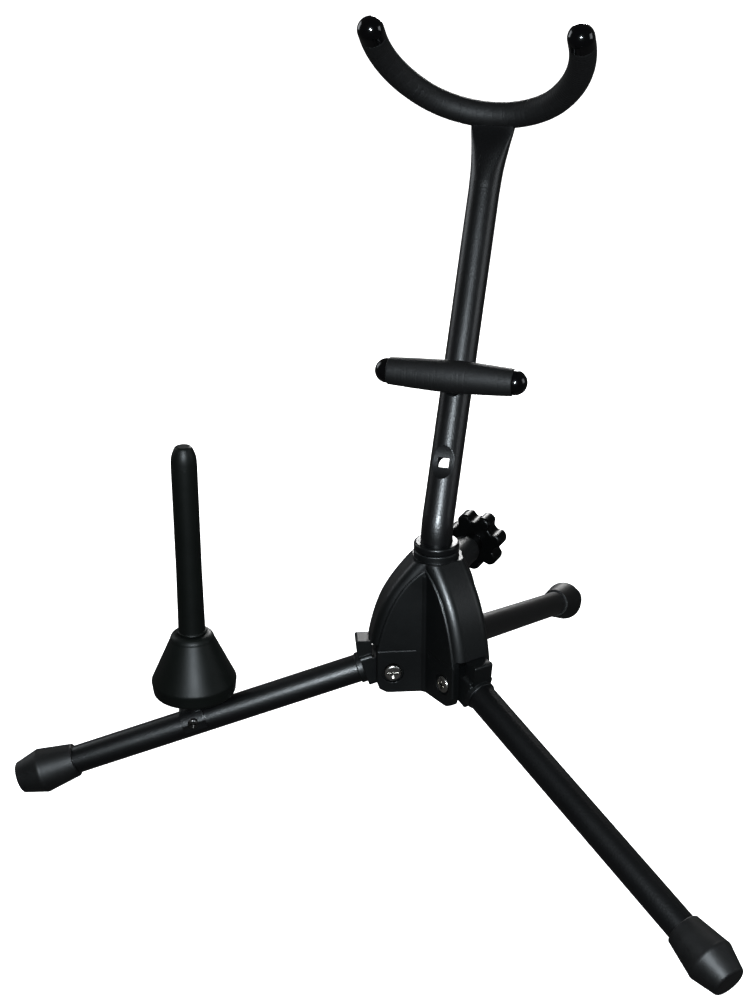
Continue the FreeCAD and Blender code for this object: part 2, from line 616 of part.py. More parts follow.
# ---------------------------------------------------------------- rest bar
AT_REST = Placement(Vector(0, -REST_FORWARD, REST_SEAT), Rotation())
SEAT_SURFACE = REST_FORWARD - POST_RADIUS + SEAT_DEPTH      # behind the bar's axis
SEAT_WALL_INSIDE = SEAT_SURFACE + POST_WALL


def rest_rod():
    """Steel rod across the front of the post, tapped in the middle for its bolt."""
    reach = REST_HALF_LENGTH + CAP_OVER_ROD
    bar = rod(ROD_RADIUS, X * -reach, X * reach).cut(rod(REST_BOLT_RADIUS, CENTRE, Y * 10))
    return on_post(placed(bar, AT_REST, UP_POST))


def rest_sleeve():
    """Foam sleeve, thickest in the middle, holed at the back for the spacer."""
    half = REST_HALF_LENGTH
    end = REST_SLEEVE_END_RADIUS
    sleeve = spun(outline((ROD_RADIUS, -half), (end - 0.6, -half), (end, -half + 0.8),
                          ((REST_SLEEVE_MIDDLE_RADIUS, 0), (end, half - 0.8)),
                          (end - 0.6, half), (ROD_RADIUS, half)))
    across = placed(sleeve, turned_about(Y, 90))
    across = across.cut(rod(SPACER_RADIUS, CENTRE, Y * 20))
    return on_post(placed(across, AT_REST, UP_POST))


def rest_end_caps():
    caps = []
    for direction in (-1, 1):
        end = Vector(direction * (REST_HALF_LENGTH + REST_BAND), 0, 0)
        cap = domed_cap(REST_CAP_RADIUS, REST_BAND, CAP_OVER_ROD - REST_BAND)
        outward = placed(cap, turned_about(Y, direction * 90), Placement(end, Rotation()))
        caps.append(on_post(placed(outward, AT_REST, UP_POST)))
    return Part.makeCompound(caps)


def rest_spacer():
    """Steel spacer between the post's pressed seat and the rod, keyed by a square neck."""
    tool_axis = Vector(0, SEAT_SURFACE - SEAT_TOOL_RADIUS, 0)
    tool = rod(SEAT_TOOL_RADIUS, tool_axis - X * 20, tool_axis + X * 20)
    body = rod(SPACER_RADIUS, CENTRE, Y * (SEAT_SURFACE + 1)).common(tool)
    half_width, half_height = SPACER_NECK
    neck_depth = (SEAT_SURFACE - 2, SEAT_WALL_INSIDE)
    neck = block((-half_width, half_width), neck_depth, (-half_height, half_height))
    spacer = body.fuse(neck).cut(rod(ROD_RADIUS, X * -20, X * 20))
    spacer = spacer.cut(rod(REST_BOLT_RADIUS, CENTRE, Y * 30))
    return on_post(placed(spacer, AT_REST, UP_POST))


def rest_bolt():
    """M5 pan-head bolt from inside the post, through the spacer, into the rod."""
    head_place = SEAT_WALL_INSIDE + REST_WASHER_THICKNESS
    bolt = pan_screw(REST_BOLT_RADIUS, 4.8, 3.0, head_place - 1.0)
    head = Placement(Vector(0, head_place, 0), Rotation(Z, -Y))
    return on_post(placed(bolt, head, AT_REST, UP_POST))


def rest_washer():
    start = Vector(0, SEAT_WALL_INSIDE, 0)
    ring = tube(5.4, REST_BOLT_RADIUS, start, start + Y * REST_WASHER_THICKNESS)
    return on_post(placed(ring, AT_REST, UP_POST))


# ---------------------------------------------------------------- instrument peg
PEG_AXIS = leg_point(PEG_PLACE)
PEG_REACH = PEG_AXIS.x
AT_PEG = Placement(Vector(PEG_REACH, 0, 0), Rotation())


def peg_saddle():
    """Fork that straddles the leg and carries the peg's tapped stem."""
    place = PEG_PLACE
    half_length = SADDLE_HALF_LENGTH
    hug = rod(SADDLE_OUTER_RADIUS, leg_point(place - half_length), leg_point(place + half_length))
    hug = hug.cut(placed(block((0, 400), (-30, 30), (-60, -1.5)), ALONG_LEG))
    stem = rod(STEM_RADIUS, Vector(PEG_REACH, 0, PEG_AXIS.z + 2), Vector(PEG_REACH, 0, STEM_TOP))
    leg_space = rod(LEG_RADIUS, leg_point(place - 30), leg_point(place + 30))
    thread_start = Vector(PEG_REACH, 0, STEM_TOP - 11)
    thread = rod(PEG_STUD_RADIUS + FIT, thread_start, thread_start + Z * 12)
    bolt_line = leg_point(place, SADDLE_BOLT_ABOVE_AXIS)
    spaces = [leg_space, thread, rod(SADDLE_BOLT_RADIUS, bolt_line - Y * 20, bolt_line + Y * 20)]
    for low, high in ((SADDLE_FLAT, 30), (-30, -SADDLE_FLAT)):
        spaces.append(block((0, 400), (low, high), (-100, 0)))
    saddle = hug.fuse(stem).cut(Part.makeCompound(spaces)).removeSplitter()
    return on_leg(saddle, LEG_AZIMUTHS["left"])


def saddle_bolt():
    """M4 pan-head bolt across the saddle, head on the front."""
    line = leg_point(PEG_PLACE, SADDLE_BOLT_ABOVE_AXIS)
    bolt = pan_screw(SADDLE_BOLT_RADIUS, 3.6, 2.4, 2 * SADDLE_FLAT + 4)
    head = Placement(Vector(line.x, SADDLE_FLAT, line.z), Rotation(Z, -Y))
    return on_leg(placed(bolt, head), LEG_AZIMUTHS["left"])


def saddle_nut():
    line = leg_point(PEG_PLACE, SADDLE_BOLT_ABOVE_AXIS)
    face = Vector(line.x, -SADDLE_FLAT, line.z)
    nut = hexagon(7.0, face, Y * -3.2).cut(rod(SADDLE_BOLT_RADIUS, face + Y, face - Y * 5))
    return on_leg(nut, LEG_AZIMUTHS["left"])


def on_peg(shape):
    return on_leg(placed(shape, AT_PEG), LEG_AZIMUTHS["left"])


def peg_washer():
    bottom = STEM_TOP + GAP
    ring = tube(STEM_RADIUS, PEG_STUD_RADIUS + 0.15, Vector(0, 0, bottom),
                Vector(0, 0, bottom + PEG_WASHER_THICKNESS))
    return on_peg(ring)


def peg_stud():
    """M6 stud fixed in the cone and screwed into the saddle's stem."""
    return on_peg(rod(PEG_STUD_RADIUS, Vector(0, 0, STEM_TOP - 10), Vector(0, 0, CONE_BOTTOM + 28)))


def peg_cone():
    """Hollow cone that the instrument's bell stands on, with a boss for the stud inside."""
    slope = (CONE_RADIUS - CONE_TOP_RADIUS) / (CONE_TOP - 2.5 - CONE_WIDEST)
    outer = spun(outline((0, CONE_BOTTOM), (CONE_RADIUS - 2.6, CONE_BOTTOM),
                         ((CONE_RADIUS - 1.4, CONE_BOTTOM + 0.6), (CONE_RADIUS - 0.8, CONE_BOTTOM + 1.8)),
                         (CONE_RADIUS - 0.1, CONE_WIDEST - 1.6),
                         ((CONE_RADIUS, CONE_WIDEST - 0.4), (CONE_RADIUS - 0.5, CONE_WIDEST + 1.2)),
                         (CONE_TOP_RADIUS + 0.6, CONE_TOP - 4.2),
                         ((CONE_TOP_RADIUS - 1.2, CONE_TOP - 1.0), (CONE_TOP_RADIUS - 4.0, CONE_TOP)),
                         (0, CONE_TOP)))
    top_inside = CONE_TOP - 6.0
    bottom_radius = CONE_RADIUS - CONE_WALL - 0.8
    top_radius = bottom_radius - slope * (top_inside - CONE_WIDEST)
    inner = spun(outline((0, CONE_BOTTOM - 1), (bottom_radius, CONE_BOTTOM - 1),
                         (bottom_radius, CONE_WIDEST), (top_radius, top_inside), (0, top_inside)))
    boss = rod(STEM_RADIUS, Vector(0, 0, CONE_BOTTOM), Vector(0, 0, top_inside + 1))
    stud_hole = rod(PEG_STUD_RADIUS, Vector(0, 0, CONE_BOTTOM - 1), Vector(0, 0, CONE_BOTTOM + 28))
    socket = rod(PEG_ROD_BOTTOM_RADIUS - 2.2, Vector(0, 0, CONE_TOP - 4), Vector(0, 0, CONE_TOP + 1))
    return on_peg(outer.cut(inner).fuse(boss).cut(stud_hole).cut(socket).removeSplitter())


def peg_rod():
    """Hollow rod, tapered and then straight, with a bead at its foot and a spigot in the cone."""
    low = PEG_ROD_BOTTOM_RADIUS
    high = PEG_ROD_TOP_RADIUS
    spigot = low - 2.2
    bead = (low + PEG_BEAD, CONE_TOP + 0.9)
    low_bore = spigot - PEG_ROD_WALL + 0.6
    high_bore = high - PEG_ROD_WALL
    section = outline((low_bore, CONE_TOP - 4), (spigot, CONE_TOP - 4), (spigot, CONE_TOP),
                      (low, CONE_TOP), (bead, (low, CONE_TOP + 1.8)), (high, PEG_ROD_TAPER_END),
                      (high, PEG_ROD_TOP), (high_bore, PEG_ROD_TOP), (high_bore, CONE_TOP + 8),
                      (low_bore, CONE_TOP + 4))
    return on_peg(spun(section))


def peg_tip():
    """Tapered end cap plugged in the rod."""
    high = PEG_ROD_TOP_RADIUS
    plug = high - PEG_ROD_WALL
    end = PEG_ROD_TOP
    section = outline((0, end - 8), (plug - 0.6, end - 8), (plug, end - 7), (plug, end), (high, end),
                      (high - 0.1, end + 3.0),
                      ((high - 0.9, end + 8.5), (PEG_TIP_RADIUS + 0.4, PEG_TOP - 1.6)),
                      ((PEG_TIP_RADIUS - 0.5, PEG_TOP - 0.4), (PEG_TIP_RADIUS - 2.0, PEG_TOP)), (0, PEG_TOP))
    return on_peg(spun(section))


# ---------------------------------------------------------------- the whole stand
def all_nodes():
    nodes = {"hub_shell": hub_shell()}
    head_sides = {"left": 1, "right": -1, "back": -1}
    screws = []
    nuts = []
    for name, azimuth in LEG_AZIMUTHS.items():
        nodes["leg_tube_" + name] = on_leg(leg_tube(name == "left"), azimuth)
        nodes["leg_holder_" + name] = on_leg(leg_holder(), azimuth)
        nodes["foot_" + name] = on_leg(foot(), azimuth)
        screws.append(on_leg(pivot_screw(head_sides[name]), azimuth))
        nuts.append(on_leg(pivot_nut(head_sides[name]), azimuth))
    nodes["pivot_screws"] = Part.makeCompound(screws)
    nodes["pivot_nuts"] = Part.makeCompound(nuts)
    makers = (clamp_nut, clamp_pad, clamp_screw, knob_head, clamp_bush, post_tube, post_plug, yoke_rod,
              yoke_sleeve, yoke_end_caps, rest_rod, rest_sleeve, rest_end_caps, rest_spacer, rest_bolt,
              rest_washer, peg_saddle, saddle_bolt, saddle_nut, peg_washer, peg_stud, peg_cone, peg_rod,
              peg_tip)
    for maker in makers:
        nodes[maker.__name__] = maker()
    return nodes


nodes = all_nodes()
whole = Part.makeCompound(list(nodes.values())).optimalBoundingBox()
middle = Vector((whole.XMin + whole.XMax) / 2, (whole.YMin + whole.YMax) / 2, whole.ZMin)
to_origin = Placement(-middle, Rotation())
print("overall size", whole.XLength, whole.YLength, whole.ZLength, "hub axis at", to_origin.Base)
for name, shape in nodes.items():
    print(name, "solids", len(shape.Solids), "valid", shape.isValid(), "volume", round(shape.Volume))
    placed(shape, to_origin).exportStep("parts/" + name + ".step")
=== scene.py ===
import json
import math
import random
from collections import namedtuple

import bpy
from mathutils import Matrix, Vector


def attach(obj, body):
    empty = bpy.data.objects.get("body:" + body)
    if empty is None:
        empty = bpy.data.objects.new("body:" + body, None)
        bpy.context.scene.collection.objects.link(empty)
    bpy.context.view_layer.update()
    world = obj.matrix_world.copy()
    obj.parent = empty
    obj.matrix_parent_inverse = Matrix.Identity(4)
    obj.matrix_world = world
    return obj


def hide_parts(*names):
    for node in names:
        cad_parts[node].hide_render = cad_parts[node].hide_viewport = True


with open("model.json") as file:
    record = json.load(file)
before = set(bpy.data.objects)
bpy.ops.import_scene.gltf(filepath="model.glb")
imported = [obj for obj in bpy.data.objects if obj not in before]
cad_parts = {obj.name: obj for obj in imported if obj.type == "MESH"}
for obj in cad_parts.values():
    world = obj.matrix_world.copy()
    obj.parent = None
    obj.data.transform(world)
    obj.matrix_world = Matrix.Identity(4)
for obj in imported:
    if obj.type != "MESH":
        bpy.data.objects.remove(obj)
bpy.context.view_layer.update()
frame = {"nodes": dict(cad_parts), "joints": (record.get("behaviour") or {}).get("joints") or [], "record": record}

# A folding saxophone stand.  Metres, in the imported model's frame: +Z up, -Y the player's side.
nodes = frame["nodes"]
MM = 0.001
CAMERA_PLACE = (0.38951, -0.97002, 0.61881)
CAMERA_ELEVATION = 22.7833
CAMERA_AZIMUTH = 25.7336
CAMERA_LENS = 58.95
SENSOR_WIDTH = 36.0
VIEW_START = 0.02
VIEW_END = 60.0

STUDIO_MIDDLE = (0.0, -0.05, 0.2)       # where the soft boxes point
KEY_COLOUR = (0.86, 0.94, 1.0)
SIDE_COLOUR = (0.92, 0.96, 1.0)
SIDE_SIZE = (0.9, 1.0)
SUN_PLACE = (0.2, -0.5, 3.0)
SUN_POWER = 1.35
SUN_SPREAD = 70.0       # degrees
SKY_STRENGTH = 0.07
FLOOR_SIZE = 240.0      # fills the view below the horizon
FLOOR_DROP = 0.21       # the floor lies below the reach of a folded leg
FLOOR_GLOW = 0.72


# ---------------------------------------------------------------- camera, light and floor
def look(obj, target):
    """Turn an object so that its -Z axis points at a place."""
    direction = Vector(target) - obj.location
    obj.rotation_euler = direction.to_track_quat("-Z", "Y").to_euler()


def add_camera():
    data = bpy.data.cameras.new("camera")
    data.lens = CAMERA_LENS
    data.sensor_width = SENSOR_WIDTH
    data.clip_start = VIEW_START
    data.clip_end = VIEW_END
    camera = bpy.data.objects.new("camera", data)
    camera.location = CAMERA_PLACE
    camera.rotation_euler = (math.radians(90 - CAMERA_ELEVATION), 0.0, math.radians(CAMERA_AZIMUTH))
    bpy.context.scene.collection.objects.link(camera)
    bpy.context.scene.camera = camera


def add_light(name, place, size, power, colour=(1.0, 1.0, 1.0)):
    """A rectangular soft box that points at the middle of the stand."""
    data = bpy.data.lights.new(name, "AREA")
    data.shape = "RECTANGLE"
    data.size = size[0]
    data.size_y = size[1]
    data.energy = power
    data.color = colour
    light = bpy.data.objects.new(name, data)
    light.location = place
    bpy.context.scene.collection.objects.link(light)
    look(light, STUDIO_MIDDLE)


def add_sun():
    """A very wide light from above that keeps the whole floor evenly pale."""
    data = bpy.data.lights.new("overhead", "SUN")
    data.energy = SUN_POWER
    data.angle = math.radians(SUN_SPREAD)
    light = bpy.data.objects.new("overhead", data)
    light.location = SUN_PLACE
    light.visible_glossy = False
    bpy.context.scene.collection.objects.link(light)
    look(light, (0.0, 0.0, 0.0))


def add_studio():
    """A small hard key beside the camera, soft sides and back, and a white floor."""
    add_light("key", (0.42, -1.04, 0.67), size=(0.10, 0.10), power=27, colour=KEY_COLOUR)
    add_light("left", (-1.8, 0.2, 0.9), size=SIDE_SIZE, power=7, colour=SIDE_COLOUR)
    add_light("right", (1.9, 0.6, 0.8), size=SIDE_SIZE, power=7, colour=SIDE_COLOUR)
    add_light("back", (-0.6, 1.8, 0.85), size=(0.5, 0.5), power=20)
    add_sun()

    world = bpy.data.worlds.new("studio")
    world.use_nodes = True
    background = world.node_tree.nodes["Background"]
    background.inputs["Color"].default_value = (1.0, 1.0, 1.0, 1.0)
    background.inputs["Strength"].default_value = SKY_STRENGTH
    bpy.context.scene.world = world

    bpy.ops.mesh.primitive_plane_add(size=FLOOR_SIZE, location=(0.0, 0.0, -FLOOR_DROP))
    floor = bpy.context.object
    floor.name = "floor"
    floor.data.materials.append(plain_floor())
    floor.visible_glossy = False
    floor.visible_diffuse = False

    scene = bpy.context.scene
    scene.view_settings.view_transform = "Standard"
    scene.view_settings.look = "Medium High Contrast"
    scene.view_settings.exposure = 0.0


# ---------------------------------------------------------------- shader building blocks
def add(tree, kind, sockets=None, **settings):
    """A shader node with its settings, and its sockets set to values or linked to other sockets."""
    node = tree.nodes.new(kind)
    for name, value in settings.items():
        setattr(node, name, value)
    for key, value in (sockets or {}).items():
        socket = node.inputs[key]
        if isinstance(value, bpy.types.NodeSocket):
            tree.links.new(value, socket)
        else:
            socket.default_value = value
    return node


def grey(level, tint=(1.0, 1.0, 1.0)):
    """A colour of one brightness, leaning a little to a tint."""
    return (level * tint[0], level * tint[1], level * tint[2], 1.0)


def noise(tree, coordinates, scale, detail=2.0, roughness=0.5):
    """Soft random blotches; a larger scale makes them smaller."""
    sockets = {"Vector": coordinates, "Scale": scale, "Detail": detail, "Roughness": roughness}
    return add(tree, "ShaderNodeTexNoise", sockets).outputs["Fac"]


def cells(tree, coordinates, scale):
    """Round pebbles or pores: the distance from the middle of the nearest cell."""
    sockets = {"Vector": coordinates, "Scale": scale}
    return add(tree, "ShaderNodeTexVoronoi", sockets, feature="F1").outputs["Distance"]


def ramp(tree, value, low, high, low_result=0.0, high_result=1.0):
    """Carry a value from one range over to another, without going past its ends."""
    sockets = {"Value": value, "From Min": low, "From Max": high,
               "To Min": low_result, "To Max": high_result}
    return add(tree, "ShaderNodeMapRange", sockets, clamp=True).outputs["Result"]


def math_node(tree, operation, first, second):
    return add(tree, "ShaderNodeMath", {0: first, 1: second}, operation=operation).outputs["Value"]


def mix_colour(tree, factor, first, second):
    """The first colour at a factor of 0 and the second at 1."""
    node = add(tree, "ShaderNodeMix", None, data_type="RGBA")
    for index, value in ((0, factor), (6, first), (7, second)):     # the colour mix's own sockets
        if isinstance(value, bpy.types.NodeSocket):
            tree.links.new(value, node.inputs[index])
        else:
            node.inputs[index].default_value = value
    return node.outputs[2]


def bump(tree, height, strength, distance, normal=None):
    """Raise the surface by a height, over another normal if one is given; the distance is in metres."""
    sockets = {"Height": height, "Strength": strength, "Distance": distance}
    if normal is not None:
        sockets["Normal"] = normal
    return add(tree, "ShaderNodeBump", sockets).outputs["Normal"]


def soft_edge(tree, radius):
    """The surface normal as if every edge were rounded a little."""
    return add(tree, "ShaderNodeBevel", {"Radius": radius}, samples=4).outputs["Normal"]


def new_material(name):
    """A new material with its tree, its surface shader and the object's coordinates."""
    material = bpy.data.materials.new(name)
    material.use_nodes = True
    tree = material.node_tree
    principled = tree.nodes["Principled BSDF"]
    coordinates = add(tree, "ShaderNodeTexCoord").outputs["Object"]
    return material, tree, principled, coordinates


def finish_surface(tree, principled, colour, roughness, normal):
    """Link the three sockets that every material here drives."""
    tree.links.new(colour, principled.inputs["Base Color"])
    tree.links.new(roughness, principled.inputs["Roughness"])
    tree.links.new(normal, principled.inputs["Normal"])


def scuffs(tree, coordinates, stretch, scale, low, high):
    """Sparse fine streaks, as rubbed paint has."""
    sockets = {"Vector": coordinates, "Scale": stretch}
    stretched = add(tree, "ShaderNodeMapping", sockets).outputs["Vector"]
    return ramp(tree, noise(tree, stretched, scale, detail=3.0, roughness=0.6), low, high)


# ---------------------------------------------------------------- materials
EDGE_SOFTENING = 0.0006     # metres
PALE_DUST = grey(0.08)


def over(tree, cover, amount, colour, cover_colour):
    """A colour with another laid over it where a cover lies, at most by an amount."""
    return mix_colour(tree, math_node(tree, "MULTIPLY", cover, amount), colour, cover_colour)


def powder_coat():
    """Black powder-coated steel: fine pebbled skin, soft broad shine, a little dust and rubbing."""
    material, tree, principled, place = new_material("powder_coat")
    pebbles = cells(tree, place, scale=780.0)
    fine = noise(tree, place, scale=2300.0, detail=2.0)
    broad = noise(tree, place, scale=16.0, detail=4.0, roughness=0.6)
    dust = ramp(tree, noise(tree, place, scale=380.0, detail=5.0, roughness=0.75), 0.62, 0.78)
    streaks = scuffs(tree, place, stretch=(1.0, 1.0, 0.12), scale=260.0, low=0.70, high=0.80)
    darker = grey(0.0008, (0.85, 0.97, 1.15))
    paler = grey(0.0016, (0.88, 0.98, 1.12))
    colour = mix_colour(tree, broad, darker, paler)
    colour = over(tree, dust, 0.05, colour, PALE_DUST)
    colour = over(tree, streaks, 0.06, colour, PALE_DUST)
    roughness = ramp(tree, broad, 0.3, 0.7, 0.36, 0.42)
    roughness = math_node(tree, "ADD", roughness, math_node(tree, "MULTIPLY", dust, 0.12))
    rounded = soft_edge(tree, EDGE_SOFTENING)
    normal = bump(tree, pebbles, strength=0.34, distance=0.00020, normal=rounded)
    normal = bump(tree, fine, strength=0.15, distance=0.00008, normal=normal)
    finish_surface(tree, principled, colour, roughness, normal)
    principled.inputs["Specular IOR Level"].default_value = 0.5
    principled.inputs["Coat Weight"].default_value = 0.06
    principled.inputs["Coat Roughness"].default_value = 0.22
    return material


def moulded_plastic(name, level, tint, rough, shine, grain, strength):
    """Textured moulded plastic: spark-eroded grain, faint mottling and dust.

    level is the brightness, rough the middle roughness, shine the specular level, grain the scale of
    the texture and strength its depth.
    """
    material, tree, principled, place = new_material(name)
    coarse = noise(tree, place, scale=grain, detail=3.0, roughness=0.65)
    fine = cells(tree, place, scale=grain * 1.7)
    broad = noise(tree, place, scale=24.0, detail=4.0, roughness=0.6)
    dust = ramp(tree, noise(tree, place, scale=520.0, detail=5.0, roughness=0.8), 0.60, 0.80)
    colour = mix_colour(tree, broad, grey(level * 0.75, tint), grey(level * 1.3, tint))
    colour = over(tree, dust, 0.05, colour, PALE_DUST)
    roughness = ramp(tree, broad, 0.25, 0.75, rough - 0.05, rough + 0.07)
    rounded = soft_edge(tree, EDGE_SOFTENING)
    normal = bump(tree, coarse, strength=strength, distance=0.00025, normal=rounded)
    normal = bump(tree, fine, strength=strength * 0.6, distance=0.00012, normal=normal)
    finish_surface(tree, principled, colour, roughness, normal)
    principled.inputs["Specular IOR Level"].default_value = shine
    return material


def foam():
    """Closed-cell foam tube: matt, open pores at the skin with painted shade in their middles, paler where it is
    rubbed.
    """
    material, tree, principled, place = new_material("foam")
    pores = cells(tree, place, scale=2100.0)
    skin = noise(tree, place, scale=900.0, detail=4.0, roughness=0.7)
    broad = noise(tree, place, scale=42.0, detail=4.0, roughness=0.6)
    rubbed = ramp(tree, noise(tree, place, scale=180.0, detail=5.0, roughness=0.7), 0.55, 0.75)
    colour = mix_colour(tree, broad, grey(0.0022), grey(0.0042, (1.0, 1.0, 1.02)))
    colour = over(tree, rubbed, 0.22, colour, grey(0.014))
    # painted shade: the colour darkens towards each pore's middle
    colour = mix_colour(tree, ramp(tree, pores, 0.0, 0.22, 0.5, 0.0), colour, grey(0.001))
    roughness = ramp(tree, skin, 0.3, 0.7, 0.54, 0.68)
    normal = bump(tree, pores, strength=0.5, distance=0.00014)
    normal = bump(tree, skin, strength=0.35, distance=0.00022, normal=normal)
    finish_surface(tree, principled, colour, roughness, normal)
    principled.inputs["Specular IOR Level"].default_value = 0.34
    return material


def gloss_cap():
    """Polished black plastic with a fine haze of wiping marks."""
    material, tree, principled, place = new_material("gloss_cap")
    haze = noise(tree, place, scale=140.0, detail=5.0, roughness=0.7)
    dust = ramp(tree, noise(tree, place, scale=1100.0, detail=3.0, roughness=0.7), 0.68, 0.78)
    colour = over(tree, dust, 0.15, grey(0.0010, (0.9, 0.95, 1.2)), grey(0.05))
    roughness = ramp(tree, haze, 0.35, 0.75, 0.10, 0.20)
    normal = bump(tree, haze, strength=0.05, distance=0.00010)
    finish_surface(tree, principled, colour, roughness, normal)
    principled.inputs["Specular IOR Level"].default_value = 0.55
    return material


def foot_rubber():
    """Dull rubber with a dusty, slightly pitted skin."""
    material, tree, principled, place = new_material("foot_rubber")
    skin = noise(tree, place, scale=700.0, detail=4.0, roughness=0.7)
    broad = noise(tree, place, scale=55.0, detail=5.0, roughness=0.65)
    dust = ramp(tree, noise(tree, place, scale=240.0, detail=6.0, roughness=0.8), 0.48, 0.72)
    colour = mix_colour(tree, broad, grey(0.0022), grey(0.0045))
    colour = over(tree, dust, 0.10, colour, grey(0.022, (1.0, 0.98, 0.95)))
    roughness = ramp(tree, broad, 0.3, 0.7, 0.46, 0.58)
    normal = bump(tree, skin, strength=0.30, distance=0.00022)
    finish_surface(tree, principled, colour, roughness, normal)
    principled.inputs["Specular IOR Level"].default_value = 0.34
    return material


def plated(name, level, tint, rough):
    """Plated steel: bright, with fine turned or brushed lines and small dull spots."""
    material, tree, principled, place = new_material(name)
    lines = noise(tree, place, scale=2600.0, detail=2.0)
    spots = ramp(tree, noise(tree, place, scale=420.0, detail=5.0, roughness=0.8), 0.58, 0.74)
    colour = over(tree, spots, 0.6, grey(level, tint), grey(level * 0.35, tint))
    roughness = ramp(tree, spots, 0.0, 1.0, rough, rough + 0.22)
    normal = bump(tree, lines, strength=0.10, distance=0.00005)
    finish_surface(tree, principled, colour, roughness, normal)
    principled.inputs["Metallic"].default_value = 1.0
    return material


def plain_floor():
    """White and glowing, so that no shadow shows on it."""
    material, tree, principled, place = new_material("floor")
    tone = noise(tree, place, scale=3.0, detail=2.0)
    colour = mix_colour(tree, tone, grey(0.86), grey(0.88))
    roughness = ramp(tree, tone, 0.0, 1.0, 0.85, 0.95)
    normal = bump(tree, noise(tree, place, scale=300.0, detail=2.0), strength=0.02, distance=0.0001)
    finish_surface(tree, principled, colour, roughness, normal)
    principled.inputs["Emission Color"].default_value = (1.0, 1.0, 1.0, 1.0)
    principled.inputs["Emission Strength"].default_value = FLOOR_GLOW
    return material


def paint(obj, material):
    """Give an object one material."""
    obj.data.materials.clear()
    obj.data.materials.append(material)
    for polygon in obj.data.polygons:
        polygon.material_index = 0


# ---------------------------------------------------------------- the post's own frame
# Millimetres and degrees, as the part is designed.
LEG_MEET_HEIGHT = 102.0     # where the three leg axes meet; the post's heights count from there
BEND_HEIGHT = 84.0          # where the post's upright and leaning axes cross
POST_LEAN = 28.7
POST_TURN = 8.6
YOKE_PLACE = 280.4          # up the leaning axis
YOKE_TILT = 43.5
YOKE_HALF_WIDTH = 67.3
YOKE_DEPTH = 80.7           # saddle to the start of the straight tips
YOKE_BREAK = 50.0           # half of the bottom arc
SLEEVE_RADIUS = 8.75
ROD_RADIUS = 5.0
REST_FORWARD = 20.9         # bar axis in front of the post's axis
REST_SEAT = 97.8
REST_HALF_LENGTH = 41.9
REST_END_RADIUS = 9.0
REST_MIDDLE_RADIUS = 10.75


def turned(degrees, axis):
    return Matrix.Rotation(math.radians(degrees), 4, axis)


def moved(x, y, z):
    return Matrix.Translation((x, y, z))


def joint_named(name):
    """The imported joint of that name."""
    for joint in frame["joints"]:
        if joint["name"] == name:
            return joint


HUB_AXIS = Vector(joint_named("post_turn")["pos_m"])
TO_METRES = moved(HUB_AXIS.x, HUB_AXIS.y, 0.0) @ Matrix.Scale(MM, 4)
UPRIGHT = TO_METRES @ moved(0, 0, LEG_MEET_HEIGHT) @ turned(POST_TURN, "Z")
POST = UPRIGHT @ moved(0, 0, BEND_HEIGHT) @ turned(-POST_LEAN, "X")
YOKE = POST @ moved(0, 0, YOKE_PLACE) @ turned(POST_LEAN + 90 - YOKE_TILT, "X")
REST_BAR = POST @ moved(0, -REST_FORWARD, REST_SEAT)


def mesh_object(name, vertices, faces, place):
    """A smooth-shaded mesh from points in millimetres in a part's own frame."""
    mesh = bpy.data.meshes.new(name)
    mesh.from_pydata([tuple(place @ Vector(point)) for point in vertices], [], faces)
    mesh.validate()
    mesh.shade_smooth()
    obj = bpy.data.objects.new(name, mesh)
    bpy.context.scene.collection.objects.link(obj)
    return obj


def tube_faces(ring_count, around):
    """Squares between rings of points; both ends stay open."""
    faces = []
    for ring in range(ring_count - 1):
        for step in range(around):
            after = (step + 1) % around
            low = ring * around
            high = low + around
            faces.append((low + step, low + after, high + after, high + step))
    return faces


# ---------------------------------------------------------------- foam
AROUND = 88                 # points round a sleeve
YOKE_STEP = 0.34            # between rings of points
REST_STEP = 0.30
SKIN_INSET = 0.02           # the drawn skin lies this far under the plain sleeve's
ROD_CLEARANCE = 0.06
EDGE_ROUNDING = 0.9         # of a sleeve's cut ends
EDGE_POINTS = 6
EDGE_SPACE = 0.05           # between the rounding and the first plain ring
INNER_PLACES = (0.1, 3.0)   # the bore's rings, in from the sleeve's end
LUMP_SEED = 64
LUMP_WAVES = 7
LUMP_HEIGHT = 0.022
PINCH = 2.7                 # how much the inside of a bend gathers, times its curvature
PINCH_RATE = 4.1
CREASE_SEED = {"yoke": 11, "rest": 23}
CREASE_MARGIN = 2.0         # at each end of a sleeve
CREASE_REACH_IN_WIDTHS = 3  # beyond this a crease is too shallow to count

# place along the sleeve, slant, middle angle round it, reach either way, greatest depth, width
Crease = namedtuple("Crease", "place slant middle reach deepest width")
# two deeper marks on the left half of the yoke, the second made of a pair
YOKE_SLITS = [Crease(-42.0, 0.8, -1.2, 1.5, 0.34, 0.35),
              Crease(-21.5, -0.4, -1.4, 1.1, 0.30, 0.40),
              Crease(-20.4, -0.2, -1.5, 0.9, 0.20, 0.30)]


def yoke_arcs():
    """Radii of the U's bottom arc and side arcs, from its width and depth."""
    sine = math.sin(math.radians(YOKE_BREAK))
    cosine = math.cos(math.radians(YOKE_BREAK))
    wide = YOKE_DEPTH * sine - YOKE_HALF_WIDTH * (1 - cosine)
    side = wide / (cosine * sine - (1 - sine) * (1 - cosine))
    bottom = (YOKE_HALF_WIDTH - side * (1 - sine)) / sine
    return bottom, side


BOTTOM_ARC, SIDE_ARC = yoke_arcs()
BOTTOM_LENGTH = BOTTOM_ARC * math.radians(YOKE_BREAK)
SIDE_LENGTH = SIDE_ARC * math.radians(90 - YOKE_BREAK)
ARM_LENGTH = BOTTOM_LENGTH + SIDE_LENGTH


